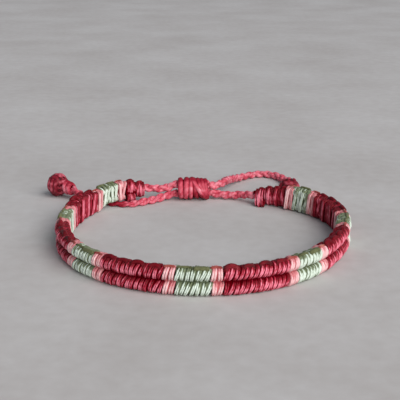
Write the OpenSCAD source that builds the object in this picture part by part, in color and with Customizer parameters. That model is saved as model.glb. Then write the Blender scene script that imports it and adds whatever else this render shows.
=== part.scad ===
// Macrame bracelet: a knotted two-rib band in burgundy, pink and mint,
// closed by two braided cords that run through a wrapped sliding knot.
// Millimetres. +Z is up, the front of the band faces -Y and the knot is at +Y.
// The origin is the middle of the bracelet, on the surface that it rests on.

/* [Band] */
// Diameter of each of the two ribs, one above the other
rib_d = 2.8; // [2.2:0.1:3.2]
// Distance from the band's middle to the floor of the groove on its outer side
groove_floor = 0.55; // [0.3:0.05:0.9]
// Length of a mint block along the band
mint_len = 6.4; // [5.4:0.2:7]
// Length of the mint block nearest the left end
left_mint_len = 5; // [4.6:0.2:5.4]
// Length of the mint block nearest the right end
right_mint_len = 4.6; // [4.2:0.2:5.4]
// Length of a pink block
pink_len = 2.3; // [1.9:0.1:2.6]
// Distance from one mint block's middle to the next
repeat_len = 23.8; // [22.6:0.2:24]
// Length of the burgundy block at the left end
left_end_len = 5.2; // [4.4:0.2:5.6]
// Length of the burgundy block at the right end
right_end_len = 9; // [8:0.2:9.4]
// Clear gap between two colour blocks
seam = 0.05; // [0.02:0.01:0.1]

/* [Ring] */
// Radius of the band's centre line in plan
ring_r = 30.5; // [30:0.1:31]
// How far the left end is lifted by the cord beneath it
end_lift = 1.4; // [1.4:0.05:1.7]

/* [Cords] */
// Diameter of the braided cords
cord_d = 1.8; // [1.5:0.1:1.8]
// Thickness of the left tail where the band presses on it
pressed_t = 1.2; // [1:0.05:1.25]

/* [Sliding knot] */
// Length of the wrapped knot along the cords
knot_len = 7.4; // [6:0.2:8]
// Outer diameter of its wraps
knot_d = 5.4; // [5.2:0.1:5.4]
// Number of wraps
knot_wraps = 6; // [4:1:8]

/* [Ball knots] */
// Diameter of the ball knot at each free end
ball_d = 5.6; // [4.8:0.1:6]
// Diameter of the small stopper knot before each ball
stopper_d = 3.2; // [2.6:0.1:3.4]

/* [Hidden] */
$fn = 48;
front_angle = 270;

// The band isn't a true circle: gentle waves on its radius
ring_centre = [-0.6, -0.1];
WAVE_COUNT = 0;
WAVE_HEIGHT = 1;
WAVE_CREST = 2;
waves = [[2, 0.45, 121], [3, 0.8, 16], [4, 0.5, 31]];

// The mint block in the middle lies a little left of the front
pattern_mid = -1.5;
mint_count = 7;
first_mint = pattern_mid - 3 * repeat_len;
band_start = mint_from(1) - pink_len - left_end_len;
band_end = mint_to(mint_count) + pink_len + right_end_len;

// Place along the band, and the ribs' girth there, as a share of rib_d
girths = [
  [band_start, 0.8],
  [band_start + 3, 0.86],
  [-70, 0.86],
  [-64, 1],
  [-61, 1.12],
  [-58, 1],
  [64, 1],
  [69, 1.05],
  [73.4, 1],
  [band_end - 4, 0.88],
  [band_end, 0.74]
];
lift_start = -67.6;
lift_full = -72.2;

// Points on the outline of one rib, and the longest step between sections
rib_points = 9;
section_step = 2.2;
cord_sides = 8;

// The two cords lie one above the other inside the knot
knot_x = -2.5;
knot_y = 29.8;
knot_left = knot_x - knot_len / 2;
knot_right = knot_x + knot_len / 2;
knot_z = knot_d / 2;
cord_rise = 1.05;
high_z = knot_z + cord_rise;
low_z = knot_z - cord_rise;
bore_d = cord_d + 0.1;
wrap_len = knot_len / knot_wraps;
wrap_depth = 0.35;
knot_core_d = knot_d - 2 * wrap_depth;

// Routes of the cords, chosen by hand
left_cord_route = [
  [-10.9, 28.9, 3.2], [-8.8, 29.5, 3.25], [knot_left - 0.5, knot_y, high_z],
  [knot_x, knot_y, high_z], [knot_right, knot_y, high_z]
];
right_cord_route = [
  [9.2, 28.7, 1.45], [6.4, 29.4, 1.15], [3.6, knot_y, 1.3],
  [knot_right + 0.4, knot_y, low_z], [knot_x, knot_y, low_z], [knot_left, knot_y, low_z]
];
table_z = cord_d / 2;
pressed_z = pressed_t / 2;
tail_end_z = 1.25;
stopper_z = 2.3;
left_tail_route = [
  [knot_left, knot_y, low_z], [-8, 29.4, 1.35], [-10, 28.1, 1.05], [-12, 26.4, table_z],
  [-14, 25, table_z], [-16, 24, 0.75], [-18, 23.6, pressed_z], [-20, 23.9, pressed_z],
  [-22, 24.6, pressed_z], [-24, 25.5, 0.75], [-26, 26.3, table_z], [-28.2, 27.1, 1.1],
  [-30.1, 28.4, 1.65], [-31.85, 29.95, stopper_z]
];
right_tail_route = [
  [knot_right, knot_y, high_z], [2.7, 30.1, 3.65], [3.9, 30.9, 3.6], [4.8, 32.2, 3.55],
  [5.35, 34.2, 3.3], [5.9, 36.6, 2.85], [6.8, 39.6, 2.25], [8, 42.8, 1.6], [9.5, 45.6, 1.1],
  [11.4, 47.9, table_z], [13.7, 49.4, table_z], [16.1, 49.7, table_z],
  [18.3, 48.7, table_z], [20, 46.6, table_z], [21.1, 43.7, table_z],
  [21.7, 40.4, table_z], [21.9, 37.2, 1], [21.5, 34.2, tail_end_z]
];
left_ball_at = [-35.9, 33, ball_d / 2];
right_ball_at = [20.8, 29.2, ball_d / 2];
// Half the length of a stopper knot, and the radius of the flat on a ball knot
stopper_half = 1.2;
ball_flat = 1;
ball_flat_at = sqrt(pow(ball_d / 2, 2) - pow(ball_flat, 2));
// How far a cutting shape runs past what it cuts
cut_over = 1;

function total(v, i = 0) = i < len(v) ? v[i] + total(v, i + 1) : 0;
function smooth(t) = let (c = min(1, max(0, t))) c * c * (3 - 2 * c);
function unit(v) = v / norm(v);

// The centre line in plan at a direction seen from the ring's centre
function radius_at(a) =
  ring_r + total([for (w = waves) w[WAVE_HEIGHT] * cos(w[WAVE_COUNT] * (a - w[WAVE_CREST]))]);
function plan_at(a) = ring_centre + radius_at(a) * [cos(a), sin(a)];

// Lengths along the centre line, counted from its front. The directions run from
// the left end, round the front, to the right end, with 90 and 450 degrees at the knot
angle_step = 2;
first_angle = 100;
angle_steps = 170;
function turn(k) = first_angle + angle_step * k;
runs = [
  for (k = 0, run = 0; k <= angle_steps;
       run = run + norm(plan_at(turn(k + 1)) - plan_at(turn(k))), k = k + 1) run
];
front_run = lookup(front_angle, [for (k = [0:angle_steps]) [turn(k), runs[k]]]);
function angle_at(s) = lookup(s + front_run, [for (k = [0:angle_steps]) [runs[k], turn(k)]]);

function lift_at(s) = end_lift * smooth((lift_start - s) / (lift_start - lift_full));
function girth_at(s) = lookup(s, girths);
function ahead_at(s) = let (a = angle_at(s), near = angle_step / 4)
  unit(plan_at(a + near) - plan_at(a - near));
function middle_at(s) = concat(plan_at(angle_at(s)), lift_at(s) + rib_d * girth_at(s));

// Outline of the band's section. The wraps bridge both ribs on the inner side, which is
// straight, and leave a groove on the outer side
rib_r = rib_d / 2;
groove_turn = acos(groove_floor / rib_r);
rib_arc = [
  for (k = [0:rib_points - 1]) let (t = (180 + groove_turn) * k / (rib_points - 1))
    [rib_r * cos(t), rib_r + rib_r * sin(t)]
];
outline = concat(rib_arc, [for (k = [rib_points - 1:-1:0]) [rib_arc[k][0], -rib_arc[k][1]]]);
function band_ring(s) = let (m = middle_at(s), w = ahead_at(s), g = girth_at(s))
  [for (p = outline) m + g * [-p[0] * w[1], p[0] * w[0], p[1]]];

// A round section at each point of a cord's route, wider where it is pressed flat
function heading(q, i) = unit(q[min(i + 1, len(q) - 1)] - q[max(i - 1, 0)]);
function cord_ring(at, way) = let (
    side = unit(cross([0, 0, 1], way)), up = cross(way, side),
    thick = min(cord_d, 2 * at[2]), wide = 2 * cord_d - thick)
  [for (k = [0:cord_sides - 1]) let (t = 360 * (k + 0.5) / cord_sides)
    at + wide / 2 * cos(t) * side + thick / 2 * sin(t) * up];
function cord_rings(q, first_way, last_way) = [
  for (i = [0:len(q) - 1])
    cord_ring(q[i], i == 0 ? first_way : i == len(q) - 1 ? last_way : heading(q, i))
];

// One closed solid through a list of rings with the same number of points
module loft(rings) {
  n = len(rings[0]);
  last = (len(rings) - 1) * n;
  polyhedron(
    points = [for (r = rings) each r],
    faces = concat(
      [[for (k = [0:n - 1]) k]],
      [[for (k = [n - 1:-1:0]) last + k]],
      [for (i = [0:len(rings) - 2]) for (k = [0:n - 1])
        let (a = i * n + k, b = i * n + (k + 1) % n) each [[b, a, a + n], [b, a + n, b + n]]]
    ),
    convexity = 6
  );
}

// A colour block between two places along the band
module block(from, to) {
  low = from + seam / 2;
  high = to - seam / 2;
  parts = ceil((high - low) / section_step);
  loft([for (i = [0:parts]) band_ring(low + (high - low) * i / parts)]);
}

function mint_mid(k) = first_mint + (k - 1) * repeat_len;
function mint_from(k) = mint_mid(k) + (k == 1 ? mint_len / 2 - left_mint_len : -mint_len / 2);
function mint_to(k) = mint_mid(k) + (k == mint_count ? right_mint_len - mint_len / 2 : mint_len / 2);
function pink_from(k) = let (m = ceil(k / 2)) k % 2 == 1 ? mint_from(m) - pink_len : mint_to(m);

module mint(k) color("#c9dccb") block(mint_from(k), mint_to(k));

module pink(k) color("#e6b0b6") block(pink_from(k), pink_from(k) + pink_len);

module burgundy(k) color("#8c1c33")
  block(k == 1 ? band_start : mint_to(k - 1) + pink_len,
        k > mint_count ? band_end : mint_from(k) - pink_len);

// The cord that leaves the band's left end and passes through the knot
module left_cord() color("#c4506a") {
  way = ahead_at(band_start);
  start = middle_at(band_start) - seam * [way[0], way[1], 0];
  loft(cord_rings(concat([start], left_cord_route), -[way[0], way[1], 0], [1, 0, 0]));
}

// The cord that leaves the band's right end and passes through the knot
module right_cord() color("#c4506a") {
  way = ahead_at(band_end);
  start = middle_at(band_end) + seam * [way[0], way[1], 0];
  loft(cord_rings(concat([start], right_cord_route), [way[0], way[1], 0], [-1, 0, 0]));
}

// The free ends of both cords, laid on the surface
module left_tail() color("#c4506a")
  loft(cord_rings(left_tail_route, [-1, 0, 0],
    unit(left_ball_at - left_tail_route[len(left_tail_route) - 1])));

module right_tail() color("#c4506a")
  loft(cord_rings(right_tail_route, [1, 0, 0],
    unit(right_ball_at - right_tail_route[len(right_tail_route) - 1])));

// The wrapped knot round both cords
module sliding_knot() color("#b8405c")
  translate([knot_left, knot_y, knot_z]) rotate([0, 90, 0]) difference() {
    rotate_extrude() {
      square([knot_core_d / 2, knot_len]);
      for (k = [0:knot_wraps - 1])
        translate([knot_core_d / 2 - wrap_len / 2 + wrap_depth, (k + 0.5) * wrap_len])
          circle(d = wrap_len);
    }
    for (side = [-1, 1]) translate([side * cord_rise, 0, -cut_over])
      cylinder(d = bore_d, h = knot_len + 2 * cut_over);
  }

// Turns the Z axis towards a point and moves there from another
module aim(from, to) {
  way = to - from;
  translate(from) rotate([0, 90 - atan2(way[2], norm([way[0], way[1]])), atan2(way[1], way[0])])
    children();
}

// A ball round the Z axis, cut flat at two heights
module round_knot(d, low, high) rotate_extrude() intersection() {
  circle(d = d);
  translate([0, low]) square([d, high - low]);
}

// A small round knot that stops the cord, with a flat face at each end
module stopper(tail_end, ball_at) color("#b8405c")
  aim(tail_end, ball_at) translate([0, 0, stopper_half])
    round_knot(stopper_d, -stopper_half, stopper_half);

// The ball knot at the very end, flat where the stopper knot meets it
module ball(tail_end, ball_at) color("#9c2440")
  aim(tail_end, ball_at) translate([0, 0, norm(ball_at - tail_end)])
    round_knot(ball_d, -ball_flat_at, ball_d);

left_tail_end = left_tail_route[len(left_tail_route) - 1];
right_tail_end = right_tail_route[len(right_tail_route) - 1];

for (k = [1:mint_count + 1]) burgundy(k);
for (k = [1:2 * mint_count]) pink(k);
for (k = [1:mint_count]) mint(k);
left_cord();
right_cord();
sliding_knot();
left_tail();
right_tail();
stopper(left_tail_end, left_ball_at);  // left_stopper
ball(left_tail_end, left_ball_at);  // left_ball
stopper(right_tail_end, right_ball_at);  // right_stopper
ball(right_tail_end, right_ball_at);  // right_ball
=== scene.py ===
"""Looks of a macrame bracelet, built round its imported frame.

The band lies on its edge as an open ring of two ribs. Each rib is a row of thread wraps, and
two braided cords leave the band's ends and pass through a wrapped sliding knot at the back.
Lengths are in metres, written as millimetres times MM. X runs to the right, Y to the back, Z up.
"""

import logging
import math
import random
from collections.abc import Callable, Iterator
from contextlib import contextmanager
from dataclasses import dataclass, field
from enum import Enum

import bpy
from mathutils import Matrix, Vector


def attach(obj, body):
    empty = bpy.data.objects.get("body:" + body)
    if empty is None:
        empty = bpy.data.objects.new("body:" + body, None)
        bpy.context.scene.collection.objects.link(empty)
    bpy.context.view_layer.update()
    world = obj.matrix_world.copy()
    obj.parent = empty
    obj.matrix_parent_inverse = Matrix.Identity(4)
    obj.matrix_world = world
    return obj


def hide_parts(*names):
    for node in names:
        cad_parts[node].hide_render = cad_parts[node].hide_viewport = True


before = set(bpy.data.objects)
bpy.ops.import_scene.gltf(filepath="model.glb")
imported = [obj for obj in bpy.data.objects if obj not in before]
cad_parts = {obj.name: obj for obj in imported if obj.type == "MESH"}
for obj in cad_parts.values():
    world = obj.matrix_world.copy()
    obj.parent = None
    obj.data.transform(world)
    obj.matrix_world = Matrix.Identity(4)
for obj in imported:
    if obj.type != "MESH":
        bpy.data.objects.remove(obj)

Model = bpy.types.Object
Socket = bpy.types.NodeSocket
Spot = tuple[float, float, float]
Colour = tuple[int, int, int]

MM = 0.001
MERGE = 0.001 * MM
UP = Vector((0.0, 0.0, 1.0))
UV_NAME = "UVMap"
SHADE = "shade"
SEED = 7
log = logging.getLogger("bracelet")


def linear(red: int, green: int, blue: int) -> tuple[float, float, float, float]:
    """A display colour from 0 to 255 as the linear colour, with its alpha, that a shader takes."""
    shares = [value / 255 for value in (red, green, blue)]
    return tuple(s / 12.92 if s <= 0.04045 else ((s + 0.055) / 1.055) ** 2.4 for s in shares) + (1.0,)


@dataclass
class NodeDesk:
    """Places shader nodes in one tree, a material's or a group's, and links them."""

    tree: bpy.types.NodeTree

    def add(self, kind: str, inputs: dict | None = None, **settings: object) -> bpy.types.Node:
        """Adds one node.

        Args:
            kind: The node's type name.
            inputs: Values or sockets for its inputs, by name or number.
            settings: Properties of the node.

        Returns:
            The new node.
        """
        node = self.tree.nodes.new(kind)
        for label, value in settings.items():
            setattr(node, label, value)
        for label, value in (inputs or {}).items():
            if isinstance(value, Socket):
                self.tree.links.new(value, node.inputs[label])
            else:
                node.inputs[label].default_value = value
        return node

    def math(self, operation: str, *values: object) -> Socket:
        """Adds a math node of numbers or sockets and gives its result."""
        return self.add("ShaderNodeMath", dict(enumerate(values)), operation=operation).outputs[0]

    def blend(self, share: Socket, low: object, high: object) -> Socket:
        """Mixes two colours by the share of the second one and gives the mixed colour."""
        inputs = {"Factor": share, 6: low, 7: high}
        return self.add("ShaderNodeMix", inputs, data_type="RGBA").outputs[2]

    def noise(self, spot: Socket, scale: float, detail: float) -> Socket:
        """Adds a noise and gives its strength at a spot."""
        inputs = {"Vector": spot, "Scale": scale, "Detail": detail}
        return self.add("ShaderNodeTexNoise", inputs).outputs["Fac"]

    def ramp(self, value: Socket, low: float, high: float) -> Socket:
        """Adds a ramp from 0 where the value is low to 1 where it is high."""
        inputs = {"Value": value, "From Min": low, "From Max": high}
        return self.add("ShaderNodeMapRange", inputs).outputs[0]

    def surface(self, inputs: dict) -> None:
        """Ends a material's tree with a Principled shader that takes these inputs."""
        shader = self.add("ShaderNodeBsdfPrincipled", inputs)
        self.add("ShaderNodeOutputMaterial", {"Surface": shader.outputs["BSDF"]})


def new_material(name: str) -> tuple[bpy.types.Material, NodeDesk]:
    """Adds an empty material.

    Args:
        name: Its name.

    Returns:
        The material and the desk for its nodes.
    """
    material = bpy.data.materials.new(name)
    material.use_nodes = True
    material.node_tree.nodes.clear()
    return material, NodeDesk(material.node_tree)


class ThreadGroup:
    """The shader group of waxed thread: its plies, its fibres and the tone of each strand."""

    name = "waxed_thread"
    sockets = (("INPUT", "NodeSocketColor", ("Dark", "Mid", "Light")),
               ("INPUT", "NodeSocketFloat", ("Roughness",)),
               ("OUTPUT", "NodeSocketColor", ("Colour",)),
               ("OUTPUT", "NodeSocketFloat", ("Roughness", "Height")))
    plies = 2.0
    ply_turns = 9.0
    ply_tone = 0.15
    ply_height = 0.5
    fibre_runs = (14.0, 30.0, 1.0)
    fibre_scale = 2.0
    fibre_tone = 0.7
    fibre_roughness = 0.35
    blotch_scale = 900.0
    blotch_tone = 2.2

    def tree(self) -> bpy.types.NodeTree:
        """The group, built on its first use."""
        return bpy.data.node_groups.get(self.name) or self.build()

    def build(self) -> bpy.types.NodeTree:
        """Builds the group.

        Returns:
            The node group, which puts out Colour, Roughness and Height.
        """
        tree = bpy.data.node_groups.new(self.name, "ShaderNodeTree")
        for way, kind, labels in self.sockets:
            for label in labels:
                tree.interface.new_socket(label, in_out=way, socket_type=kind)
        desk = NodeDesk(tree)
        given = desk.add("NodeGroupInput").outputs
        along = desk.add("ShaderNodeUVMap", uv_map=UV_NAME).outputs["UV"]
        parts = desk.add("ShaderNodeSeparateXYZ", {"Vector": along}).outputs
        twist = desk.math("MULTIPLY_ADD", parts["X"], self.ply_turns,
                          desk.math("MULTIPLY", parts["Y"], self.plies))
        ply = desk.math("SINE", desk.math("MULTIPLY", twist, 2 * math.pi))
        runs = desk.add("ShaderNodeMapping", {"Vector": along, "Scale": self.fibre_runs}).outputs[0]
        fibre = desk.math("SUBTRACT", desk.noise(runs, self.fibre_scale, 3.0), 0.5)
        spot = desk.add("ShaderNodeTexCoord").outputs["Object"]
        blotch = desk.math("SUBTRACT", desk.noise(spot, self.blotch_scale, 2.0), 0.5)
        tone = desk.add("ShaderNodeAttribute", attribute_name=SHADE).outputs["Fac"]
        for part, share in ((blotch, self.blotch_tone), (fibre, self.fibre_tone), (ply, self.ply_tone)):
            tone = desk.math("MULTIPLY_ADD", part, share, tone)
        colour = desk.blend(desk.ramp(tone, -1.0, 0.0), given["Dark"], given["Mid"])
        colour = desk.blend(desk.ramp(tone, 0.0, 1.0), colour, given["Light"])
        rough = desk.math("MULTIPLY_ADD", fibre, self.fibre_roughness, given["Roughness"])
        height = desk.math("MULTIPLY_ADD", ply, self.ply_height, fibre)
        desk.add("NodeGroupOutput", {"Colour": colour, "Roughness": rough, "Height": height})
        return tree


@dataclass(frozen=True)
class ThreadFinish:
    """One colour of waxed thread, from its darkest to its lightest strand."""

    name: str
    dark: Colour
    mid: Colour
    light: Colour
    roughness: float = 0.42
    specular: float = 0.22
    bump_depth: float = 0.05 * MM
    bump_strength: float = 0.7

    def material(self) -> bpy.types.Material:
        """The finish as a material, built on its first use."""
        return bpy.data.materials.get(self.name) or self.build()

    def build(self) -> bpy.types.Material:
        """Builds the material.

        Returns:
            The material.
        """
        material, desk = new_material(self.name)
        given = {"Dark": linear(*self.dark), "Mid": linear(*self.mid), "Light": linear(*self.light),
                 "Roughness": self.roughness}
        thread = desk.add("ShaderNodeGroup", given, node_tree=ThreadGroup().tree()).outputs
        bump = desk.add("ShaderNodeBump", {"Height": thread["Height"], "Distance": self.bump_depth,
                                           "Strength": self.bump_strength})
        desk.surface({"Base Color": thread["Colour"], "Roughness": thread["Roughness"],
                      "Specular IOR Level": self.specular, "Normal": bump.outputs["Normal"]})
        return material


class Hue(Enum):
    """The colours of thread in the bracelet."""

    BURGUNDY = "burgundy"
    PINK = "pink"
    MINT = "mint"
    ROSE = "rose"


class Layer(Enum):
    """Where thread lies: in a wrap, along the top edge or in the core below."""

    WRAP = "strand"
    # Edge thread is darker, partly its own colour and partly painted shade of the top edge.
    EDGE = "edge"
    # Core thread is dark as painted shade in the gaps between strands.
    CORE = "core"


# The darkest, middle and lightest tone of each hue, layer by layer. Core colours are painted shade; the
# darker edge colours are partly painted shade.
COLOURS = {
    Hue.BURGUNDY: (((112, 2, 18), (176, 38, 60), (250, 142, 162)),
                   ((76, 0, 8), (120, 8, 24), (170, 40, 56)),
                   ((80, 0, 8), (102, 0, 12), (130, 8, 22))),
    Hue.PINK: (((214, 132, 136), (238, 182, 184), (250, 210, 209)),
               ((120, 42, 40), (178, 88, 80), (232, 158, 142)),
               ((172, 68, 76), (202, 102, 108), (222, 134, 136))),
    Hue.MINT: (((118, 128, 98), (214, 228, 212), (233, 246, 233)),
               ((78, 80, 50), (114, 118, 80), (158, 163, 122)),
               ((82, 93, 70), (112, 123, 98), (140, 151, 124))),
    Hue.ROSE: (((152, 26, 46), (207, 78, 97), (242, 154, 167)),
               ((78, 4, 16), (144, 34, 50), (214, 108, 124)),
               ((66, 0, 8), (94, 4, 16), (126, 20, 34))),
}
FINISHES = {
    (hue, layer): ThreadFinish(f"waxed_{hue.value}_{layer.value}", *colours,
                               specular=0.0 if layer is Layer.CORE else ThreadFinish.specular)
    for hue, layers in COLOURS.items() for layer, colours in zip(Layer, layers)
}


def select(*models: Model) -> None:
    """Selects only these objects and makes the first one active.

    Args:
        models: The objects to select.
    """
    bpy.ops.object.select_all(action="DESELECT")
    for model in models:
        model.select_set(True)
    if models:
        bpy.context.view_layer.objects.active = models[0]


@contextmanager
def editing(model: Model, chosen: Callable[[Vector], bool] | None = None) -> Iterator[None]:
    """Opens a model in edit mode and closes it afterwards.

    Args:
        model: The mesh object to open.
        chosen: Whether the vertex at a point is selected. Without it all are.
    """
    select(model)
    bpy.ops.object.mode_set(mode="EDIT")
    bpy.ops.mesh.select_all(action="SELECT")
    if chosen:
        bpy.ops.mesh.select_mode(type="VERT")
        bpy.ops.mesh.select_all(action="DESELECT")
        bpy.ops.object.mode_set(mode="OBJECT")
        for vertex in model.data.vertices:
            vertex.select = chosen(vertex.co)
        bpy.ops.object.mode_set(mode="EDIT")
    yield
    bpy.ops.object.mode_set(mode="OBJECT")


def smooth(model: Model) -> None:
    """Shades a model smoothly."""
    model.data.polygons.foreach_set("use_smooth", [True] * len(model.data.polygons))


def paint(model: Model, tone: Callable[[Vector], float]) -> None:
    """Gives each vertex the tone for its place, lighter above 0 and darker below it."""
    shade = model.data.attributes.new(SHADE, "FLOAT", "POINT")
    shade.data.foreach_set("value", [tone(vertex.co) for vertex in model.data.vertices])


def leaning(slope: float) -> Matrix:
    """A matrix that moves each point along X by the slope times its height."""
    return Matrix(((1, 0, slope, 0), (0, 1, 0, 0), (0, 0, 1, 0), (0, 0, 0, 1)))


def new_object(name: str, data: bpy.types.ID) -> Model:
    """Adds an object to the scene.

    Args:
        name: Its name.
        data: Its mesh, light or camera.

    Returns:
        The object.
    """
    added = bpy.data.objects.new(name, data)
    bpy.context.scene.collection.objects.link(added)
    return added


def torus(middle: float, thickness: float, steps: int, sides: int) -> Model:
    """Models a torus round the X axis.

    Args:
        middle: Radius of the line in the middle of its section.
        thickness: Radius of its section.
        steps: How many faces go round the axis.
        sides: How many go round its section.

    Returns:
        The torus.
    """
    select()
    bpy.ops.mesh.primitive_torus_add(
        location=(0, 0, 0), rotation=(0, math.pi / 2, 0), mode="MAJOR_MINOR", major_segments=steps,
        minor_segments=sides, major_radius=middle, minor_radius=thickness)
    bpy.ops.object.transform_apply(location=True, rotation=True, scale=True)
    return bpy.context.object


def join(name: str, parts: list[Model]) -> Model:
    """Joins parts into one object.

    Args:
        name: The name of the joined object.
        parts: The objects to join.

    Returns:
        The joined object.
    """
    select(*parts)
    bpy.ops.object.join()
    whole = bpy.context.view_layer.objects.active
    whole.name = whole.data.name = name
    return whole


def remove(models: list[Model]) -> None:
    """Deletes the models that the copies were made from."""
    for model in models:
        bpy.data.objects.remove(model)


@dataclass
class Piece:
    """A piece in the making: the parts that together stand for one frame node."""

    node: str
    hue: Hue
    parts: list[Model] = field(default_factory=list, init=False)

    def add(self, part: Model, layer: Layer) -> None:
        """Takes a part in and gives it the thread of its layer.

        Args:
            part: The part.
            layer: Where its thread lies.
        """
        part.data.materials.clear()
        part.data.materials.append(FINISHES[self.hue, layer].material())
        self.parts.append(part)

    def lay(self, model: Model, place: Matrix, tone: float, layer: Layer = Layer.WRAP) -> None:
        """Lays a copy of a model, with its own mesh and with its object at the origin.

        Args:
            model: The model to copy, painted with its tones.
            place: Where the copy goes, turned and scaled.
            tone: How much lighter (above 0) or darker (below 0) its thread is.
            layer: Where its thread lies.
        """
        mesh = model.data.copy()
        mesh.transform(place)
        tones = mesh.attributes[SHADE].data
        values = [0.0] * len(tones)
        tones.foreach_get("value", values)
        tones.foreach_set("value", [value + tone for value in values])
        self.add(new_object(model.name, mesh), layer)

    def core(self, inset: float) -> Model:
        """Shapes what shows between the strands: the node's own form, drawn in a little, in dark thread
        that is painted shade.

        Args:
            inset: How far it is drawn in.

        Returns:
            The core.
        """
        shape = new_object(f"{self.node}_core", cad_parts[self.node].data.copy())
        with editing(shape):
            bpy.ops.mesh.remove_doubles(threshold=MERGE)
            bpy.ops.transform.shrink_fatten(value=-inset)
        shape.data.uv_layers.new(name=UV_NAME)
        paint(shape, lambda spot: 0.0)
        self.add(shape, Layer.CORE)
        return shape

    def hand_over(self, kind: str, slot: str) -> Model:
        """Joins the parts and lets the whole stand for its frame node.

        Args:
            kind: What its strands form, the last word of its name.
            slot: The record's material slot for it; not used.

        Returns:
            The finished piece.
        """
        piece = join(f"{self.node}_{kind}", self.parts)
        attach(piece, "root")
        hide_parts(self.node)
        return piece


@dataclass(frozen=True)
class Wave:
    """A gentle wave on the ring's radius: how many crests, how high, and where one lies."""

    count: int
    height: float
    crest: float


@dataclass
class BandLine:
    """The band's centre line in plan, with its girth and its lift along the way.

    A run is a length along the band from its front, below 0 towards the left end.
    """

    rib_d: float = 2.8 * MM
    ring_radius: float = 30.5 * MM
    centre: tuple[float, float] = (-0.6 * MM, -0.1 * MM)
    waves: tuple[Wave, ...] = (Wave(2, 0.45 * MM, 121), Wave(3, 0.8 * MM, 16), Wave(4, 0.5 * MM, 31))
    end_lift: float = 1.05 * MM
    lift_start: float = -67.6 * MM
    lift_full: float = -72.2 * MM
    first_angle: float = 100.0
    angle_step: float = 1.0
    angle_steps: int = 340
    front_angle: float = 270.0
    girths: tuple[tuple[float, float], ...] = (
        (-82.2 * MM, 0.8), (-79.2 * MM, 0.86), (-70 * MM, 0.86), (-64 * MM, 1.0), (-61 * MM, 1.12),
        (-58 * MM, 1.0), (64 * MM, 1.0), (69 * MM, 1.05), (73.4 * MM, 1.0), (78.6 * MM, 0.88),
        (82.6 * MM, 0.74),
    )
    runs: list[float] = field(default_factory=list)

    def __post_init__(self) -> None:
        """Measures the line from its front."""
        points = [self.plan(self.turn(k)) for k in range(self.angle_steps + 1)]
        lengths = [0.0]
        for here, there in zip(points, points[1:]):
            lengths.append(lengths[-1] + (there - here).length)
        front = lengths[round((self.front_angle - self.first_angle) / self.angle_step)]
        self.runs = [length - front for length in lengths]

    def turn(self, k: float) -> float:
        """The direction of step k in degrees."""
        return self.first_angle + self.angle_step * k

    def plan(self, angle: float) -> Vector:
        """A point of the centre line in plan.

        Args:
            angle: Its direction from the ring's centre in degrees.

        Returns:
            The point, at height 0.
        """
        reach = self.ring_radius + sum(
            w.height * math.cos(math.radians(w.count * (angle - w.crest))) for w in self.waves)
        turned = math.radians(angle)
        return Vector((self.centre[0] + reach * math.cos(turned),
                       self.centre[1] + reach * math.sin(turned), 0.0))

    def angle_at(self, run: float) -> float:
        """The direction of a place along the band.

        Args:
            run: Its run.

        Returns:
            The direction in degrees.
        """
        k = next((i for i, length in enumerate(self.runs) if length >= run), self.angle_steps)
        k = max(1, k)
        share = (run - self.runs[k - 1]) / (self.runs[k] - self.runs[k - 1])
        return self.turn(k - 1 + share)

    def girth(self, run: float) -> float:
        """The ribs' girth.

        Args:
            run: The run where it is wanted.

        Returns:
            Its share of the full girth.
        """
        if run <= self.girths[0][0]:
            return self.girths[0][1]
        for (low, thin), (high, thick) in zip(self.girths, self.girths[1:]):
            if run <= high:
                return thin + (thick - thin) * (run - low) / (high - low)
        return self.girths[-1][1]

    def lift(self, run: float) -> float:
        """How far the cord beneath the band lifts it at a run."""
        share = min(1.0, max(0.0, (self.lift_start - run) / (self.lift_start - self.lift_full)))
        return self.end_lift * share * share * (3 - 2 * share)

    def place(self, run: float, rise: float = 0.0) -> Matrix:
        """The place of something on the band.

        Args:
            run: Its run.
            rise: Height above the middle between the ribs, at full girth.

        Returns:
            A matrix with X along the band, Y to the ring's inside and Z up, scaled by the girth.
        """
        angle = self.angle_at(run)
        ahead = (self.plan(angle + 0.5) - self.plan(angle - 0.5)).normalized()
        inward = UP.cross(ahead)
        girth = self.girth(run)
        spot = self.plan(angle) + UP * (self.lift(run) + girth * (self.rib_d + rise))
        turned = Matrix((ahead, inward, UP)).transposed().to_4x4()
        return Matrix.Translation(spot) @ turned @ Matrix.Scale(girth, 4)


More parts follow.
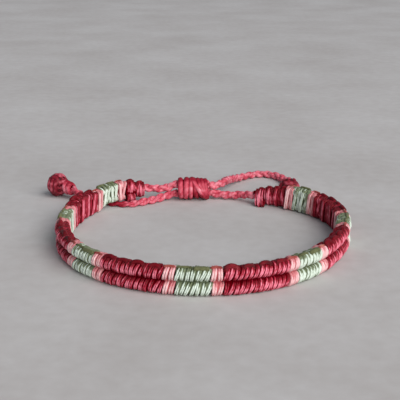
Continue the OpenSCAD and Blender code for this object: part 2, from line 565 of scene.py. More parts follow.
@dataclass
class WrapModels:
    """Models of one thread wrap, a twin strand, from which the copies are made."""

    draw: random.Random = field(default_factory=lambda: random.Random(SEED))
    rib_radius: float = 1.4 * MM
    strand_depth: float = 0.36 * MM
    strand_half: float = 0.23 * MM
    twin_gap: float = 0.36 * MM
    gap_spread: float = 0.08
    depth_spread: float = 0.1
    twist_spread: float = 0.07
    ring_steps: int = 13
    strand_sides: int = 5
    variants: int = 6
    lean_spread: float = math.radians(8)
    size_spread: float = 0.06
    shift: float = 0.08 * MM
    shade_spread: float = 0.42
    # Painted light of the strands: a highlight on the crest, and shade on the flanks and towards top and
    # foot.
    crest_painted_highlight: float = 0.75
    flank_painted_shade: float = 2.3
    top_painted_shade: float = 2.3
    foot_painted_shade: float = 1.45
    crest_shift: float = 0.3
    twin_share: float = 0.55
    taper_start: float = 0.8
    taper_width: float = 0.88
    bridge_radius: float = 0.82 * MM
    bridge_inward: float = 0.66 * MM
    bridge_stretch: float = 1.8 * MM
    bridge_middle: float = 0.1 * MM

    def ring(self, radius: float, swell: float) -> Model:
        """Models one strand as a ring whose section has its flat side outwards.

        Args:
            radius: The ring's outer radius.
            swell: The strand's thickness as a share of the usual one.

        Returns:
            The ring round the X axis.
        """
        depth = self.strand_depth * swell
        middle = radius - depth * math.cos(math.pi / self.strand_sides)
        ring = torus(middle, depth, self.ring_steps, self.strand_sides)
        for vertex in ring.data.vertices:
            reach = math.hypot(vertex.co.y, vertex.co.z)
            vertex.co.yz = Vector(vertex.co.yz) * (2 * middle - reach) / reach
        ring.data.flip_normals()
        with editing(ring):
            bpy.ops.transform.resize(value=(self.strand_half / self.strand_depth, 1, 1),
                                     center_override=(0, 0, 0))
        return ring

    def twin(self, radius: float) -> Model:
        """Models two strands side by side, with a painted highlight on their crests and painted shade on
        their flanks and towards top and bottom.

        Args:
            radius: The rings' outer radius.

        Returns:
            The twin strand.
        """
        draw = self.draw.uniform
        apart = self.twin_gap * (1 + draw(-self.gap_spread, self.gap_spread)) / 2
        rings = []
        for side in (-1, 1):
            ring = self.ring(radius, 1 + draw(-self.depth_spread, self.depth_spread))
            crest = draw(-1, 1) * self.crest_shift
            # Paints each strand's highlight on its crest and its shade on its flanks, top and foot.
            paint(ring, lambda spot: self.crest_painted_highlight
                  - self.flank_painted_shade * ((1 if spot.x * side > 0 else self.twin_share)
                                        * (radius - math.hypot(spot.y, spot.z)) / self.strand_depth)
                  - self.top_painted_shade * max(0.0, spot.z / radius - crest) ** 2
                  - self.foot_painted_shade * max(0.0, crest - spot.z / radius) ** 2)
            with editing(ring, lambda spot: abs(spot.z) > self.taper_start * radius):
                bpy.ops.transform.resize(value=(self.taper_width, 1, 1), center_override=(0, 0, 0))
            with editing(ring):
                bpy.ops.transform.rotate(value=draw(-self.twist_spread, self.twist_spread),
                                         orient_axis="Y", center_override=(0, 0, 0))
                bpy.ops.transform.translate(value=(side * apart, draw(-1, 1) * self.shift, 0))
            rings.append(ring)
        twin = join("wrap", rings)
        smooth(twin)
        return twin

    def wraps(self) -> list[Model]:
        """Models the variants of a wrap round one rib."""
        return [self.twin(self.rib_radius) for _ in range(self.variants)]

    def bridges(self) -> list[Model]:
        """Models the variants of a wrap that bridges both ribs on the band's inner side.

        Returns:
            One stretched twin strand for each variant.
        """
        models = [self.twin(self.bridge_radius) for _ in range(self.variants)]
        for model in models:
            for side in (-1, 1):
                with editing(model, lambda spot: spot.z * side > self.bridge_middle):
                    bpy.ops.transform.translate(value=(0, 0, side * self.bridge_stretch))
            with editing(model):
                bpy.ops.transform.translate(value=(0, self.bridge_inward, 0))
        return models

    def pose(self, lean: float) -> Matrix:
        """The lean and the small unevenness of one wrap.

        Args:
            lean: How far the wraps lean in general.

        Returns:
            A matrix for the wrap in the rib's own frame.
        """
        slope = math.tan(lean + self.draw.uniform(-self.lean_spread, self.lean_spread))
        size = 1 + self.draw.uniform(-self.size_spread, self.size_spread)
        nudge = Matrix.Translation((self.draw.uniform(-1, 1) * self.shift, 0, 0))
        return nudge @ leaning(slope) @ Matrix.Diagonal((1, size, 1 + (size - 1) / 2, 1))

    def tone(self) -> float:
        """The tone of one wrap, lighter above 0 and darker below it."""
        return self.draw.uniform(-1, 1) * self.shade_spread


@dataclass(frozen=True)
class FloatModel:
    """Model of a float, a strand that arches lengthways over the top of the upper rib."""

    half_length: float
    arch_height: float
    thickness: float
    forward: float
    sink: float
    tilt: float = math.radians(35)
    sides: int = 8
    steps: int = 10
    foot_start: float = 0.93
    foot_width: float = 0.45
    foot_painted_shade: float = -0.5

    def build(self) -> Model:
        """Spins a small disc along an arc.

        Returns:
            The arch, with its crest at the origin and its feet below it.
        """
        reach = (self.half_length ** 2 + self.arch_height ** 2) / (2 * self.arch_height)
        half_turn = math.asin(self.half_length / reach)
        middle = Vector((0, 0, -reach))
        select()
        bpy.ops.mesh.primitive_circle_add(
            vertices=self.sides, radius=self.thickness, fill_type="NGON", location=(0, 0, 0),
            rotation=(0, math.pi / 2, 0))
        arch = bpy.context.object
        bpy.ops.object.transform_apply(location=True, rotation=True, scale=True)
        turned = Matrix.Translation(middle) @ Matrix.Rotation(-half_turn, 4, "Y")
        arch.data.transform(turned @ Matrix.Translation(-middle))
        with editing(arch):
            bpy.ops.mesh.spin(steps=self.steps, angle=-2 * half_turn, center=middle, axis=(0, 1, 0))
            bpy.ops.mesh.select_all(action="SELECT")
            bpy.ops.mesh.remove_doubles(threshold=MERGE)
            bpy.ops.mesh.normals_make_consistent(inside=False)
        for side in (-1, 1):
            with editing(arch, lambda spot: side * spot.x > self.foot_start * self.half_length):
                bpy.ops.transform.resize(value=(1, self.foot_width, self.foot_width),
                                         center_override=(0, 0, -self.arch_height - self.thickness / 2))
        smooth(arch)
        # Painted shade: the float darkens towards its feet, where it sinks into the rib.
        paint(arch, lambda spot: self.foot_painted_shade * (spot.x / self.half_length) ** 2)
        return arch


FLOATS = {
    Hue.BURGUNDY: (FloatModel(1.45 * MM, 0.8 * MM, 0.5 * MM, 0.22 * MM, -0.08 * MM),
                   FloatModel(1.3 * MM, 0.6 * MM, 0.42 * MM, 0.3 * MM, 0.06 * MM)),
    Hue.PINK: (FloatModel(1.15 * MM, 0.16 * MM, 0.26 * MM, 0.3 * MM, 0.0),),
    Hue.MINT: (FloatModel(1.5 * MM, 0.14 * MM, 0.24 * MM, 0.3 * MM, 0.0),
               FloatModel(1.6 * MM, 0.16 * MM, 0.48 * MM, 0.55 * MM, 0.14 * MM)),
}


@dataclass(frozen=True)
class Lobe:
    """A bulging group of wraps near one of the band's ends, sized as if at full girth."""

    share: float
    tone: float
    rise: float = 0.0
    half_height: float = 2.75 * MM
    droop: float = 0.0
    lean: float = 0.0


LOBES = {
    "burgundy_1": (Lobe(0.17, 0.15, -0.4 * MM, 2.45 * MM), Lobe(0.66, 0.15, 0.5 * MM, 2.12 * MM),
                   Lobe(0.66, 0.0, -2.4 * MM, 1.65 * MM)),
    "burgundy_8": (Lobe(0.1, -0.5, -0.15 * MM, 2.6 * MM), Lobe(0.32, -0.5, -0.15 * MM, 2.6 * MM),
                   Lobe(0.54, 0.3, -0.15 * MM, 2.6 * MM),
                   Lobe(0.76, 0.3, -0.3 * MM, 2.5 * MM, 2.9 * MM, 0.14)),
}


@dataclass
class Block(Piece):
    """One colour block of the band, and its place along the band."""

    start: float
    end: float

    @property
    def length(self) -> float:
        """Its length along the band."""
        return self.end - self.start


@dataclass(frozen=True)
class Row:
    """How the wraps of one row follow each other, lean, swell and bulge inwards, and the painted shade
    and light they get.
    """

    pitch: float
    trim: float
    lean: float
    pink_lean: float = 1.0
    width: float = 1.0
    tone: float = 0.0
    bulge_height: float = 0.0
    bulge_painted_light: float = 0.0


@dataclass
class Band:
    """The two-rib band, built block by block."""

    line: BandLine = field(default_factory=BandLine)
    wraps: WrapModels = field(default_factory=WrapModels)
    mint_length: float = 6.4 * MM
    left_mint_length: float = 5.0 * MM
    right_mint_length: float = 4.6 * MM
    pink_length: float = 2.3 * MM
    repeat_length: float = 23.8 * MM
    left_end_length: float = 5.2 * MM
    right_end_length: float = 9.0 * MM
    pattern_middle: float = -1.5 * MM
    mint_count: int = 7
    round_rib: Row = Row(0.91 * MM, 0.2, math.radians(18), 0.45)
    # Painted shade: the wraps across the band's inner side are darker, lighter on their inward bulges and
    # darker between them.
    across: Row = Row(1.25 * MM, 0.0, math.radians(-7), 1.0, 1.1, -0.5, 0.16 * MM, 0.4)
    bulge_length: float = 3.3 * MM
    core_inset: float = 0.3 * MM
    float_spacing: float = 3.3 * MM
    float_shift: float = 0.06
    float_reach: float = 1.1
    float_spans: tuple[float, float] = (0.92, 1.05)
    float_girths: tuple[float, float] = (0.9, 1.1)
    float_tones: tuple[float, float] = (-0.4, 0.2)
    lobe_core_height: float = 0.5
    # Each turn's last number is painted light: a lobe's middle turn lighter, its outer turns darker.
    lobe_turns: tuple[tuple[float, float, float], ...] = (
        (-0.76 * MM, 0.9, -0.35), (0.0, 1.06, 0.2), (0.76 * MM, 0.9, -0.35))
    lobe_width: float = 1.08
    lobe_lean: float = 0.14
    lobe_tone: float = 0.2
    end_settle: float = 1 / 3
    cap: FloatModel = FloatModel(0.98 * MM, 0.45 * MM, 0.6 * MM, 0.0, 0.3 * MM)

    def blocks(self) -> list[Block]:
        """Lists the colour blocks from the left end, round the front, to the right end.

        Returns:
            The blocks, named as the frame's nodes are.
        """
        middles = [self.pattern_middle + (k - (self.mint_count - 1) / 2) * self.repeat_length
                   for k in range(self.mint_count)]
        mints = [[middle - self.mint_length / 2, middle + self.mint_length / 2] for middle in middles]
        mints[0][0] = mints[0][1] - self.left_mint_length
        mints[-1][1] = mints[-1][0] + self.right_mint_length
        pink = self.pink_length
        start = mints[0][0] - pink - self.left_end_length
        found = []
        for number, (low, high) in enumerate(mints, 1):
            found += [Block(f"burgundy_{number}", Hue.BURGUNDY, start, low - pink),
                      Block(f"pink_{2 * number - 1}", Hue.PINK, low - pink, low),
                      Block(f"mint_{number}", Hue.MINT, low, high),
                      Block(f"pink_{2 * number}", Hue.PINK, high, high + pink)]
            start = high + pink
        last = f"burgundy_{self.mint_count + 1}"
        return found + [Block(last, Hue.BURGUNDY, start, start + self.right_end_length)]

    def fill(self, block: Block) -> None:
        """Fills a block with its core, lower under lobes and settled where the cord lifts the band.

        Args:
            block: The colour block.
        """
        shape = block.core(self.core_inset)
        middle = (block.start + block.end) / 2
        height = self.lobe_core_height if block.node in LOBES else 1.0
        with editing(shape):
            bpy.ops.transform.resize(value=(1, 1, height),
                                     center_override=self.line.place(middle).translation)
            bpy.ops.transform.translate(value=(0, 0, -self.end_settle * self.line.lift(middle)))

    def lay_row(self, block: Block, models: list[Model], row: Row, rise: float = 0.0) -> None:
        """Lays one row of wraps along a block.

        Args:
            block: The colour block.
            models: The wrap models.
            row: How the wraps lie.
            rise: Height of the row's middle above the middle between the ribs.
        """
        count = max(1, round(block.length / row.pitch - row.trim))
        pitch = block.length / count
        stretch = Matrix.Diagonal((pitch / row.pitch * row.width, 1, 1, 1))
        lean = row.lean * (row.pink_lean if block.hue is Hue.PINK else 1.0)
        for number in range(count):
            run = pitch * (number + 0.5)
            bulge = math.cos(2 * math.pi * (run / self.bulge_length - 0.5))
            nudge = Matrix.Translation((0, row.bulge_height * (1 + bulge), 0))
            place = self.line.place(block.start + run, rise) @ nudge @ self.wraps.pose(lean) @ stretch
            # Random tone, plus the row's painted shade and a painted highlight on each inward bulge with
            # shade between.
            tone = self.wraps.tone() + row.tone + row.bulge_painted_light * bulge
            block.lay(self.wraps.draw.choice(models), place, tone)

    def top_floats(self, block: Block, models: list[Model]) -> None:
        """Lays the floats along the top edge of the upper rib.

        Args:
            block: The colour block.
            models: The float models of its colour, laid in turn.
        """
        count = max(1, round(block.length / self.float_spacing))
        spacing = block.length / count
        draw = self.wraps.draw.uniform
        for number in range(count):
            model, size = models[number % len(models)], FLOATS[block.hue][number % len(models)]
            shift = draw(-self.float_shift, self.float_shift)
            run = block.start + spacing * (number + 0.5) + shift * spacing
            reach = min(1.0, self.float_reach * block.length / (2 * size.half_length))
            span = reach * draw(*self.float_spans)
            girth = draw(*self.float_girths)
            aside = Matrix.Translation((0, -size.forward, 0)) @ Matrix.Rotation(-size.tilt, 4, "X")
            place = self.line.place(run, self.line.rib_d - size.sink) @ aside
            place = place @ Matrix.Diagonal((span, girth, girth, 1))
            block.lay(model, place, draw(*self.float_tones), Layer.EDGE)

    def end_lobes(self, block: Block, models: list[Model], cap: Model) -> None:
        """Lays the bulging wraps of a block at one of the band's ends, each group under a dark cap.

        Args:
            block: The colour block.
            models: The wrap models.
            cap: The float that caps a lobe.
        """
        draw = self.wraps.draw.uniform
        for lobe in LOBES[block.node]:
            middle = block.start + lobe.share * block.length
            tall = lobe.half_height / self.wraps.rib_radius
            slant = Matrix.Translation((0, lobe.droop / 2, 0))
            slant[1][2] = -lobe.droop / (2 * lobe.half_height)
            for aside, size, shade in self.lobe_turns:
                lean = leaning(math.tan(draw(-self.lobe_lean, self.lobe_lean)) / tall + lobe.lean)
                swell = Matrix.Diagonal((self.lobe_width, size, tall * (1 + size) / 2, 1))
                place = self.line.place(middle + aside, lobe.rise) @ slant @ lean @ swell
                # Painted light: the lobe's middle turn lighter and its sides darker, plus random tone.
                tone = lobe.tone + shade + draw(-self.lobe_tone, self.lobe_tone)
                block.lay(self.wraps.draw.choice(models), place, tone)
            if lobe.rise + lobe.half_height > 0:
                place = self.line.place(middle, lobe.rise + lobe.half_height - self.cap.sink)
                block.lay(cap, place, draw(-self.lobe_tone, self.lobe_tone), Layer.EDGE)

    def build(self) -> list[Model]:
        """Builds every block of the band.

        Returns:
            The finished blocks.
        """
        models, bridges = self.wraps.wraps(), self.wraps.bridges()
        arches = {hue: [size.build() for size in sizes] for hue, sizes in FLOATS.items()}
        cap = self.cap.build()
        pieces = []
        for block in self.blocks():
            self.fill(block)
            if block.node in LOBES:
                self.end_lobes(block, models, cap)
            else:
                for rise in (self.line.rib_d / 2, -self.line.rib_d / 2):
                    self.lay_row(block, models, self.round_rib, rise)
                self.lay_row(block, bridges, self.across)
                self.top_floats(block, arches[block.hue])
            pieces.append(block.hand_over("wraps", f"{block.hue.value}_thread"))
        remove([*models, *bridges, cap, *(arch for row in arches.values() for arch in row)])
        return pieces


@dataclass
class Braid(Piece):
    """A three-strand braid along a given route in millimetres."""

    route: list[Spot]
    # Painted shadow: the braid darkens where it lies under the band's lifted end.
    band_shadow_tone: float = 0.0
    band_shadow_middle: float = -22 * MM
    band_shadow_reach: float = 4 * MM
    tones: tuple[float, float] = (0.05, 0.5)
    cord_d: float = 1.95 * MM
    strand_radius: float = 0.53 * MM
    period: float = 7.4 * MM
    step: float = 0.3 * MM
    sides: int = 8
    uv_length: float = 7.2 * MM

    def centreline(self) -> list[Vector]:
        """A smooth line through the route's points.

        Returns:
            Points a short step apart.
        """
        knots = [Vector(point) * MM for point in self.route]
        ends = [2 * knots[0] - knots[1], *knots, 2 * knots[-1] - knots[-2]]
        line = []
        for before, here, there, after in zip(ends, ends[1:], ends[2:], ends[3:]):
            count = max(2, math.ceil((there - here).length / self.step))
            for t in (number / count for number in range(count)):
                line.append(0.5 * (2 * here + (there - before) * t
                                   + (2 * before - 5 * here + 4 * there - after) * t ** 2
                                   + (3 * here - before - 3 * there + after) * t ** 3))
        return line + [knots[-1]]

    def strand(self, line: list[Vector], phase: float) -> Model:
        """Sweeps one strand of the braid.

        Args:
            line: The braid's centre line.
            phase: Where in the braid's period the strand starts, in turns.

        Returns:
            The strand, closed at both ends.
        """
        swing = self.cord_d / 2 - self.strand_radius
        rate = 2 * math.pi / self.period
        points, runs, run = [], [], 0.0
        for number, spot in enumerate(line):
            low, high = line[max(0, number - 1)], line[min(len(line) - 1, number + 1)]
            run += (spot - line[number - 1]).length if number else 0.0
            ahead = (high - low).normalized()
            side = UP.cross(ahead).normalized()
            above = ahead.cross(side)
            squash = min(self.cord_d, 2 * spot.z) / self.cord_d
            turn = rate * run + 2 * math.pi * phase
            middle = Vector((0, swing * math.sin(turn), swing * math.sin(2 * turn)))
            slope = Vector((1, swing * rate * math.cos(turn), 2 * swing * rate * math.cos(2 * turn)))
            slope.normalize()
            across = UP.cross(slope).normalized()
            over = slope.cross(across)
            for angle in (2 * math.pi * k / self.sides for k in range(self.sides)):
                local = middle + self.strand_radius * (math.cos(angle) * across + math.sin(angle) * over)
                aside, rise = (2 - squash) * local.y * side, squash * local.z * above
                points.append(spot + local.x * ahead + aside + rise)
            runs.append(run / self.uv_length)
        return self.tube(points, runs)

    def tube(self, points: list[Vector], runs: list[float]) -> Model:
        """Closes rings of points into a tube with its own map.

        Args:
            points: The rings' points, one ring after another.
            runs: The map's coordinate along the braid at each ring.

        Returns:
            The tube.
        """
        sides = self.sides
        faces, corners = [], []
        for i, (u, w) in enumerate(zip(runs, runs[1:])):
            a, b = i * sides, (i + 1) * sides
            for k in range(sides):
                after = (k + 1) % sides
                faces.append((a + k, a + after, b + after, b + k))
                corners += [(u, k / sides), (u, (k + 1) / sides), (w, (k + 1) / sides), (w, k / sides)]
        last = (len(runs) - 1) * sides
        faces += [tuple(reversed(range(sides))), tuple(range(last, last + sides))]
        corners += [(runs[0], 0.0)] * sides + [(runs[-1], 0.0)] * sides
        mesh = bpy.data.meshes.new("strand")
        mesh.from_pydata(points, [], faces)
        mesh.uv_layers.new(name=UV_NAME)
        for spot, corner in zip(mesh.uv_layers[UV_NAME].data, corners):
            spot.uv = corner
        tube = new_object("strand", mesh)
        smooth(tube)
        return tube

    def build(self, draw: random.Random) -> Model:
        """Builds the braid.

        Args:
            draw: The source of random numbers.

        Returns:
            The finished braid.
        """
        line = self.centreline()
        for number in range(3):
            strand = self.strand(line, number / 3)
            tone = draw.uniform(*self.tones)
            # Random tone per strand, less a painted shadow under the band.
            paint(strand, lambda spot: tone + self.band_shadow_tone
                  * max(0.0, 1 - abs(spot.x - self.band_shadow_middle) / self.band_shadow_reach))
            self.add(strand, Layer.WRAP)
        return self.hand_over("braid", "rose_braid")


@dataclass(frozen=True)
class Tail:
    """One free end: its side, its route, where its stopper knot starts, where its ball is and its painted
    shadow under the band.
    """

    side: str
    route: list[Spot]
    end: Spot
    ball_at: Spot
    band_shadow_tone: float = 0.0

    def aim(self) -> Matrix:
        """The frame at the tail's end with its X axis towards the ball.

        Returns:
            The frame's matrix.
        """
        ahead = (Vector(self.ball_at) - Vector(self.end)).normalized()
        side = UP.cross(ahead).normalized()
        turned = Matrix((ahead, side, ahead.cross(side))).transposed().to_4x4()
        return Matrix.Translation(Vector(self.end) * MM) @ turned


@dataclass
class Closure:
    """The cords, the sliding knot round them and the knots on their free ends.

    Its sizes are in millimetres, apart from those written with MM.
    """

    line: BandLine
    draw: random.Random = field(default_factory=lambda: random.Random(SEED + 1))
    cord_d: float = 1.8 * MM
    knot_x: float = -2.5
    knot_y: float = 29.8
    knot_length: float = 7.4
    knot_d: float = 5.4
    knot_lift: float = 0.1
    knot_thread: float = 0.62
    knot_tones: tuple[float, float] = (-0.3, -0.1)
    slim_thread: float = 0.5
    # How much painted shade darkens the foot of the knot's right-hand rings.
    knot_foot_painted_shade: float = 3.6
    cord_rise: float = 1.05
    stopper_d: float = 3.2
    stopper_thread: float = 0.7
    stopper_lean: float = 16.0
    stopper_lift: float = 0.15
    stopper_turns: tuple[tuple[float, float, float], ...] = ((0.75, 1.02, -0.1), (1.8, 1.08, 0.15))
    stopper_tones: tuple[float, float] = (-0.1, 0.1)
    ball_d: float = 5.6
    ball_thread: float = 0.64
    ball_rows: tuple[float, ...] = (-1.1, 0.0, 1.1)
    ball_shift: Spot = (0.0, -0.4, 0.1)
    ball_squash: tuple[float, ...] = (0.96, 1.0, 1.05, 1.0)
    ball_tones: tuple[float, float] = (-0.2, 0.4)
    row_dip: float = 0.9
    row_tilt: float = 0.06
    core_inset: float = 0.35 * MM
    stopper_inset: float = 0.2 * MM
    # Painted light of the knots' rings: a highlight on the crest, and shade on the flanks and top.
    crest_painted_highlight: float = 0.35
    flank_painted_shade: float = 0.9
    top_painted_shade: float = 1.9
    ring_steps: int = 32
    ring_sides: int = 8
    band_start: float = -82.2 * MM
    band_end: float = 82.6 * MM
    overlap: float = 2.5 * MM

    def __post_init__(self) -> None:
        """Works the knot's ends and the cords' heights out."""
        self.knot_left = self.knot_x - self.knot_length / 2
        self.knot_right = self.knot_x + self.knot_length / 2
        self.knot_z = self.knot_d / 2
        self.high_z = self.knot_z + self.cord_rise
        self.low_z = self.knot_z - self.cord_rise

    def band_point(self, run: float) -> Spot:
        """The middle of the band at a run."""
        return tuple(self.line.place(run).translation / MM)

    def cords(self) -> list[Braid]:
        """The cords, which run from the band's ends into the knot.

        Returns:
            The left cord and the right cord.
        """
        y, high, low = self.knot_y, self.high_z, self.low_z
        left = [self.band_point(self.band_start + self.overlap), self.band_point(self.band_start),
                (-10.9, 28.9, 2.95), (-8.8, 29.5, 3.05),
                (self.knot_left - 0.5, y, high), (self.knot_x, y, high), (self.knot_right, y, high)]
        right = [self.band_point(self.band_end - self.overlap), self.band_point(self.band_end),
                 (9.2, 28.7, 1.45), (6.4, 29.4, 1.15), (3.6, y, 1.3),
                 (self.knot_right + 0.4, y, low), (self.knot_x, y, low), (self.knot_left, y, low)]
        return [Braid("left_cord", Hue.ROSE, left), Braid("right_cord", Hue.ROSE, right)]

    def tails(self) -> list[Tail]:
        """The free ends: one lies under the band's left end, one in a loop behind the band.

        Returns:
            The left tail and the right tail.
        """
        table, pressed = 0.9, 0.6
        end, ball_at = (-31.85, 29.95, 2.3), (-35.9, 33.0, self.ball_d / 2)
        route = [(self.knot_left, self.knot_y, self.low_z), (-8, 29.4, 1.35), (-10, 28.1, 1.05),
                 (-12, 26.4, table), (-14, 25, table), (-16, 24, 0.75), (-18, 23.6, pressed),
                 (-20, 23.9, pressed), (-22, 24.6, pressed), (-24, 25.5, 0.75), (-26, 26.3, table),
                 (-28.2, 27.1, 1.1), (-30.1, 28.4, 1.65), end, ball_at]
        # The left tail gets a painted shadow where it passes under the band's left end.
        left = Tail("left", route, end, ball_at, -3.0)
        end, ball_at = (21.5, 34.2, 1.25), (20.8, 29.2, self.ball_d / 2)
        route = [(self.knot_right, self.knot_y, self.high_z - 0.3), (2.7, 30.1, 3.4), (3.9, 30.9, 3.45),
                 (4.8, 32.2, 3.55), (5.35, 34.2, 3.3), (5.9, 36.6, 2.85), (6.8, 39.6, 2.25),
                 (8, 42.8, 1.6), (9.5, 45.6, 1.1), (11.4, 47.9, table), (13.7, 49.4, table),
                 (16.1, 49.7, table), (18.3, 48.7, table), (20, 46.6, table), (21.1, 43.7, table),
                 (21.7, 40.4, table), (21.9, 37.2, 1), end, ball_at]
        return [left, Tail("right", route, end, ball_at)]

    def ring(self, radius: float, thickness: float, foot: float = 0.9) -> Model:
        """Models a ring of thread round the X axis, with a painted highlight on its crest and painted
        shade on its flanks, top and foot.

        Args:
            radius: Its outer radius.
            thickness: The thread's radius.
            foot: How much painted shade darkens it towards its foot.

        Returns:
            The ring.
        """
        reach, thick = radius * MM, thickness * MM
        ring = torus((radius - thickness) * MM, thick, self.ring_steps, self.ring_sides)
        smooth(ring)
        paint(ring, lambda spot: self.crest_painted_highlight
              - self.flank_painted_shade * (reach - math.hypot(spot.y, spot.z)) / thick
              - self.top_painted_shade * max(0.0, spot.z / reach) ** 3
              - foot * max(0.0, -spot.z / reach) ** 2)
        return ring

    def sliding_knot(self) -> Model:
        """Builds the wrapped knot: upright wraps on its left half, slanting ones on its right.

        Returns:
            The finished knot.
        """
        radius = self.knot_d / 2
        wide, slim = self.ring(radius, self.knot_thread), self.ring(radius, self.slim_thread)
        dark = self.ring(radius, self.knot_thread, self.knot_foot_painted_shade)
        knot = Piece("sliding_knot", Hue.ROSE)
        knot.core(self.core_inset)
        centre = Matrix.Translation(Vector((self.knot_x, self.knot_y, self.knot_z + self.knot_lift)) * MM)
        # Painted shade: the slim rings' low tones and the rings with a shaded foot darken the knot's
        # lower right.
        turns = ((wide, -3.0, -3, 1.0, 1.1, 0.1), (wide, -1.7, 2, 1.04, 1.15, 0.3),
                 (wide, -0.55, 0, 1.03, 0.9, 0.25), (slim, 0.5, -10, 0.97, 1.2, -0.9),
                 (slim, 1.4, -22, 0.95, 1.2, -0.8), (dark, 1.5, -34, 1.05, 1.15, 0.2),
                 (dark, 2.3, -27, 0.98, 1.0, 0.1), (dark, 2.7, -17, 0.95, 1.0, 0.0),
                 (wide, 3.05, -5, 0.92, 1.0, -0.2))
        for model, along, lean, size, width, tone in turns:
            nudge = Matrix.Translation(Vector((along, 0, 0)) * MM)
            place = centre @ nudge @ leaning(math.tan(math.radians(lean)))
            place = place @ Matrix.Diagonal((width, size, size, 1))
            knot.lay(model, place, tone + self.draw.uniform(*self.knot_tones))
        remove([wide, slim, dark])
        return knot.hand_over("wraps", "rose_knot")

    def stopper(self, tail: Tail) -> Model:
        """Builds the small round knot before a ball knot.

        Args:
            tail: The free end that it is on.

        Returns:
            The finished stopper knot.
        """
        model = self.ring(self.stopper_d / 2, self.stopper_thread)
        base = Matrix.Translation(UP * self.stopper_lift * MM) @ tail.aim()
        knot = Piece(f"{tail.side}_stopper", Hue.ROSE)
        knot.core(self.stopper_inset)
        for along, size, tone in self.stopper_turns:
            nudge = Matrix.Translation((along * MM, 0, 0))
            place = base @ nudge @ leaning(math.tan(math.radians(self.stopper_lean)))
            place = place @ Matrix.Diagonal((1, size, size, 1))
            knot.lay(model, place, tone + self.draw.uniform(*self.stopper_tones))
        remove([model])
        return knot.hand_over("wraps", "rose_knot")

    def ball(self, tail: Tail) -> Model:
        """Builds the woven ball knot at a cord's free end.

        Args:
            tail: The free end that it is on.

        Returns:
            The finished ball knot.
        """
        base = Matrix.Translation((Vector(tail.ball_at) + Vector(self.ball_shift)) * MM)
        base = base @ Matrix.Diagonal(self.ball_squash) @ tail.aim().to_3x3().to_4x4()
        knot = Piece(f"{tail.side}_ball", Hue.ROSE)
        knot.core(self.core_inset)
        upright, across, level = (Matrix.Rotation(math.pi / 2, 4, axis) for axis in "XYZ")
        models = []
        for offset in self.ball_rows:
            reach = math.sqrt((self.ball_d / 2) ** 2 - offset ** 2)
            model = self.ring(reach, self.ball_thread)
            models.append(model)
            for turn in (Matrix.Identity(4), level @ upright, across @ upright):
                slide = Matrix.Translation((offset * MM, 0, 0))
                tilt = Matrix.Rotation(self.draw.uniform(-self.row_tilt, self.row_tilt), 4, "Z")
                place = base @ turn @ tilt @ slide @ Matrix.Diagonal((1, 1, self.row_dip, 1))
                knot.lay(model, place, self.draw.uniform(*self.ball_tones), Layer.EDGE)
        remove(models)
        return knot.hand_over("weave", "rose_knot")

    def build(self) -> list[Model]:
        """Builds the cords and the knots, and works out each free cord's length.

        Returns:
            The finished pieces.
        """
        pieces = [cord.build(self.draw) for cord in self.cords()] + [self.sliding_knot()]
        for end in self.tails():
            braid = Braid(f"{end.side}_tail", Hue.ROSE, end.route, end.band_shadow_tone)
            tail = braid.build(self.draw)
            knots = [self.stopper(end), self.ball(end)]
            line = braid.centreline()
            length = sum((there - here).length for here, there in zip(line, line[1:]))
            tuple(line[0])
            [tuple(point) for point in line]
            pieces += [tail, *knots]
        return pieces


class LightKind(Enum):
    """The lights of the studio: one from far away, and one square lamp."""

    SUN = "SUN"
    LAMP = "AREA"


@dataclass(frozen=True)
class Light:
    """One light that faces the bracelet. A sun's width is its angle in degrees."""

    name: str
    kind: LightKind
    spot: Spot
    width: float
    strength: float
    colour: Colour

    def hang(self) -> None:
        """Adds the light to the scene."""
        data = bpy.data.lights.new(self.name, self.kind.value)
        data.energy = self.strength
        data.color = linear(*self.colour)[:3]
        if self.kind is LightKind.SUN:
            data.angle = math.radians(self.width)
        else:
            data.shape = "SQUARE"
            data.size = self.width
        light = new_object(self.name, data)
        light.location = self.spot
        light.rotation_euler = (-Vector(self.spot)).to_track_quat("-Z", "Y").to_euler()


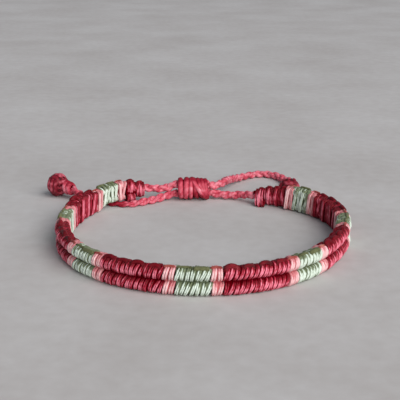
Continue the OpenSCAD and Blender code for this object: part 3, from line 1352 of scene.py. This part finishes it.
@dataclass
class Studio:
    """The plain floor, the soft lights and the camera at the photograph's viewing angle."""

    camera_at: Spot = (-0.84 * MM, -192.9 * MM, 67.56 * MM)
    look_down: float = math.radians(16.933)
    lens: float = 85.5
    sensor: float = 36.0
    near: float = 0.01
    floor_half: float = 2.5
    floor_dark: Colour = (190, 186, 183)
    floor_light: Colour = (205, 203, 201)
    floor_roughness: float = 0.9
    floor_specular: float = 0.1
    wide_scale: float = 26.0
    fine_scale: float = 320.0
    fine_share: float = 0.35
    mottle_span: tuple[float, float] = (0.35, 0.65)
    sky: float = 0.25
    sky_colour: Colour = (232, 240, 255)
    lights: tuple[Light, ...] = (
        Light("day", LightKind.SUN, (0.65, -0.5, 0.75), 50, 1.74, (255, 253, 252)),
        Light("front", LightKind.LAMP, (0.6, -1.5, 0.55), 1.0, 17.5, (255, 252, 250)),
    )

    def camera(self) -> None:
        """Places the camera."""
        data = bpy.data.cameras.new("camera")
        data.lens = self.lens
        data.sensor_width = self.sensor
        data.clip_start = self.near
        camera = new_object("camera", data)
        camera.location = self.camera_at
        camera.rotation_euler = (math.pi / 2 - self.look_down, 0, 0)
        bpy.context.scene.camera = camera

    def floor(self) -> None:
        """Lays the floor with a faint mottling."""
        select()
        bpy.ops.mesh.primitive_plane_add(size=2 * self.floor_half, location=(0, 0, 0))
        floor = bpy.context.object
        floor.name = "floor"
        material, desk = new_material("pale_floor")
        spot = desk.add("ShaderNodeTexCoord").outputs["Object"]
        wide = desk.math("MULTIPLY", desk.noise(spot, self.wide_scale, 5.0), 1 - self.fine_share)
        mottle = desk.math("MULTIPLY_ADD", desk.noise(spot, self.fine_scale, 4.0), self.fine_share, wide)
        colour = desk.blend(desk.ramp(mottle, *self.mottle_span), linear(*self.floor_dark),
                            linear(*self.floor_light))
        desk.surface({"Base Color": colour, "Roughness": self.floor_roughness,
                      "Specular IOR Level": self.floor_specular})
        floor.data.materials.append(material)

    def build(self) -> None:
        """Sets the whole studio up."""
        self.camera()
        self.floor()
        for light in self.lights:
            light.hang()
        world = bpy.data.worlds.new("sky")
        world.use_nodes = True
        sky = world.node_tree.nodes["Background"].inputs
        sky["Color"].default_value = linear(*self.sky_colour)
        sky["Strength"].default_value = self.sky
        bpy.context.scene.world = world
        bpy.context.scene.view_settings.view_transform = "Standard"


def main() -> None:
    """Builds the studio, the cords and knots and the band, and logs each piece's face count."""
    logging.basicConfig(level=logging.INFO, format="%(name)s %(message)s")
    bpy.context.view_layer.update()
    Studio().build()
    band = Band()
    pieces = Closure(band.line).build() + band.build()
    for piece in pieces:
        log.info("%s: %d faces", piece.name, len(piece.data.polygons))


if __name__ == "__main__":
    main()
